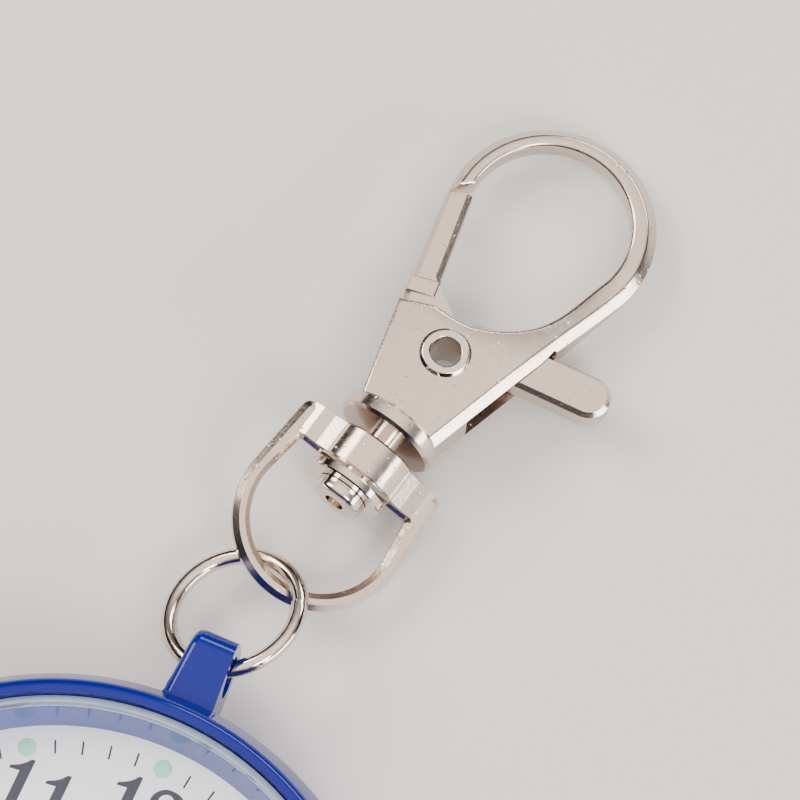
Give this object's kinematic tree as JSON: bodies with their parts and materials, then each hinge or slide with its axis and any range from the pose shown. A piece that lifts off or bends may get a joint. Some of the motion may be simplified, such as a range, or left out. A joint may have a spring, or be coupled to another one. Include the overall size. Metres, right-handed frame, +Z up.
{
  "type": "fob watch",
  "caption": "Round quartz fob watch in a glossy blue moulded case, hung by a wire jump ring from a swivel snap hook with a thumb trigger.",
  "frame": {"origin": "centre of the case back's flat face, which lies on the table", "axes": "+Z up through the dial, +Y towards twelve o'clock and the hook, +X towards the crown"},
  "size_m": [0.0455, 0.09, 0.0098],
  "materials": {
    "case_plastic": "glossy moulded blue plastic",
    "back_steel": "circular brushed stainless steel",
    "crystal_acrylic": "clear polished acrylic",
    "rehaut_plastic": "polished lilac-blue plastic",
    "dial_white": "satin white lacquer with printed dark grey numerals",
    "gasket_rubber": "smooth black nitrile",
    "holder_plastic": "natural white acetal",
    "plate_brass": "fine grained brass",
    "wheel_brass": "polished cut brass",
    "watch_steel": "polished hardened steel",
    "core_iron": "annealed soft iron",
    "coil_copper": "enamelled copper wire",
    "cell_steel": "bright nickel plated can",
    "board_laminate": "green solder mask",
    "chip_epoxy": "black potting epoxy",
    "crown_chrome": "bright plated brass",
    "hand_paint": "satin dark grey lacquer",
    "ring_nickel": "bright nickel plated wire",
    "hook_nickel": "bright nickel plated zinc casting",
    "rivet_nickel": "bright nickel plated steel",
    "spring_steel": "drawn spring wire"
  },
  "bodies": {
    "watch_case": {"case_body": "case_plastic", "case_back": "back_steel", "case_back_gasket": "gasket_rubber", "crystal": "crystal_acrylic", "crystal_gasket": "gasket_rubber", "rehaut_ring": "rehaut_plastic", "dial": "dial_white", "movement_holder": "holder_plastic", "main_plate": "plate_brass", "train_bridge": "plate_brass", "bridge_screws": "watch_steel", "circuit_board": "board_laminate", "driver_chip": "chip_epoxy", "quartz_can": "cell_steel", "coil_core": "core_iron", "coil_winding": "coil_copper", "stator": "core_iron", "battery": "cell_steel", "battery_clamp": "watch_steel", "clutch_lever": "watch_steel", "stem_tube": "crown_chrome"},
    "seconds": {"fourth_wheel": "wheel_brass", "second_hand": "hand_paint"},
    "minutes": {"centre_wheel": "plate_brass", "cannon_pinion": "plate_brass", "minute_hand": "hand_paint"},
    "hours": {"hour_wheel": "wheel_brass", "hour_hand": "hand_paint"},
    "third": {"third_wheel": "wheel_brass"},
    "fifth": {"fifth_wheel": "wheel_brass"},
    "step_rotor": {"rotor": "watch_steel"},
    "minute_train": {"minute_wheel": "wheel_brass"},
    "clutch": {"clutch_pinion": "watch_steel"},
    "crown_stem": {"stem": "watch_steel", "crown": "crown_chrome", "crown_gasket": "gasket_rubber"},
    "setting": {"setting_lever": "watch_steel"},
    "ring": {"jump_ring": "ring_nickel"},
    "eye": {"swivel_eye": "hook_nickel"},
    "hook": {"hook_body": "hook_nickel", "swivel_pin": "rivet_nickel", "swivel_washer": "rivet_nickel", "pivot_eyelet": "rivet_nickel", "trigger_spring": "spring_steel"},
    "gate": {"trigger": "hook_nickel"}
  },
  "joints": [
    {"name": "seconds_turn", "type": "hinge", "parent": "watch_case", "child": "seconds", "pos_m": [0, 0, 0.003], "axis": [0, 0, -1], "continuous": true},
    {"name": "minutes_turn", "type": "hinge", "parent": "watch_case", "child": "minutes", "pos_m": [0, 0, 0.003], "axis": [0, 0, -1], "continuous": true},
    {"name": "hours_turn", "type": "hinge", "parent": "watch_case", "child": "hours", "pos_m": [0, 0, 0.003], "axis": [0, 0, -1], "continuous": true},
    {"name": "third_turn", "type": "hinge", "parent": "watch_case", "child": "third", "pos_m": [-0.00265, 0.00153, 0.003], "axis": [0, 0, -1], "continuous": true},
    {"name": "fifth_turn", "type": "hinge", "parent": "watch_case", "child": "fifth", "pos_m": [0.00249, 0.00144, 0.003], "axis": [0, 0, -1], "continuous": true},
    {"name": "rotor_turn", "type": "hinge", "parent": "watch_case", "child": "step_rotor", "pos_m": [0.00361, 0.00338, 0.003], "axis": [0, 0, -1], "continuous": true},
    {"name": "minute_wheel_turn", "type": "hinge", "parent": "watch_case", "child": "minute_train", "pos_m": [-0.00177, -0.00124, 0.003], "axis": [0, 0, -1], "continuous": true},
    {"name": "crown_turn", "type": "hinge", "parent": "watch_case", "child": "clutch", "pos_m": [0.005, 0, 0.0032], "axis": [1, 0, 0], "continuous": true},
    {"name": "crown_pull", "type": "slide", "parent": "clutch", "child": "crown_stem", "axis": [1, 0, 0], "range_m": [0, 0.001]},
    {"name": "setting_swing", "type": "hinge", "parent": "watch_case", "child": "setting", "pos_m": [0.0079, 0.002, 0.0032], "axis": [0, 0, 1], "range_deg": [0, 36.62]},
    {"name": "jump_ring_swing", "type": "hinge", "parent": "watch_case", "child": "ring", "pos_m": [-0.00034, 0.02425, 0.00505], "axis": [0.9999, 0.014, 0], "range_deg": [-80, 100]},
    {"name": "swivel_eye_swing", "type": "hinge", "parent": "ring", "child": "eye", "pos_m": [0.00028, 0.03148, 0.00376], "axis": [0.9003, -0.3187, -0.2965], "range_deg": [-60, 60]},
    {"name": "clasp_swivel", "type": "hinge", "parent": "eye", "child": "hook", "pos_m": [0.00361, 0.04388, 0.0036], "axis": [0.2073, 0.9751, -0.0785], "continuous": true},
    {"name": "trigger_press", "type": "hinge", "parent": "hook", "child": "gate", "pos_m": [0.00485, 0.04973, 0.00313], "axis": [-0.0163, -0.0767, -0.9969], "range_deg": [0, 25], "stiffness_Nm_per_rad": 0.01, "springref_deg": -17.19}
  ],
  "couplings": [
    {"joint": "minutes_turn", "follows": "seconds_turn", "ratio": 0.016667},
    {"joint": "hours_turn", "follows": "seconds_turn", "ratio": 0.0013889},
    {"joint": "third_turn", "follows": "seconds_turn", "ratio": -0.13333},
    {"joint": "fifth_turn", "follows": "seconds_turn", "ratio": -5},
    {"joint": "rotor_turn", "follows": "seconds_turn", "ratio": 30},
    {"joint": "minute_wheel_turn", "follows": "seconds_turn", "ratio": -0.0055556},
    {"joint": "setting_swing", "follows": "crown_pull", "rad_per_m": 635.65}
  ]
}
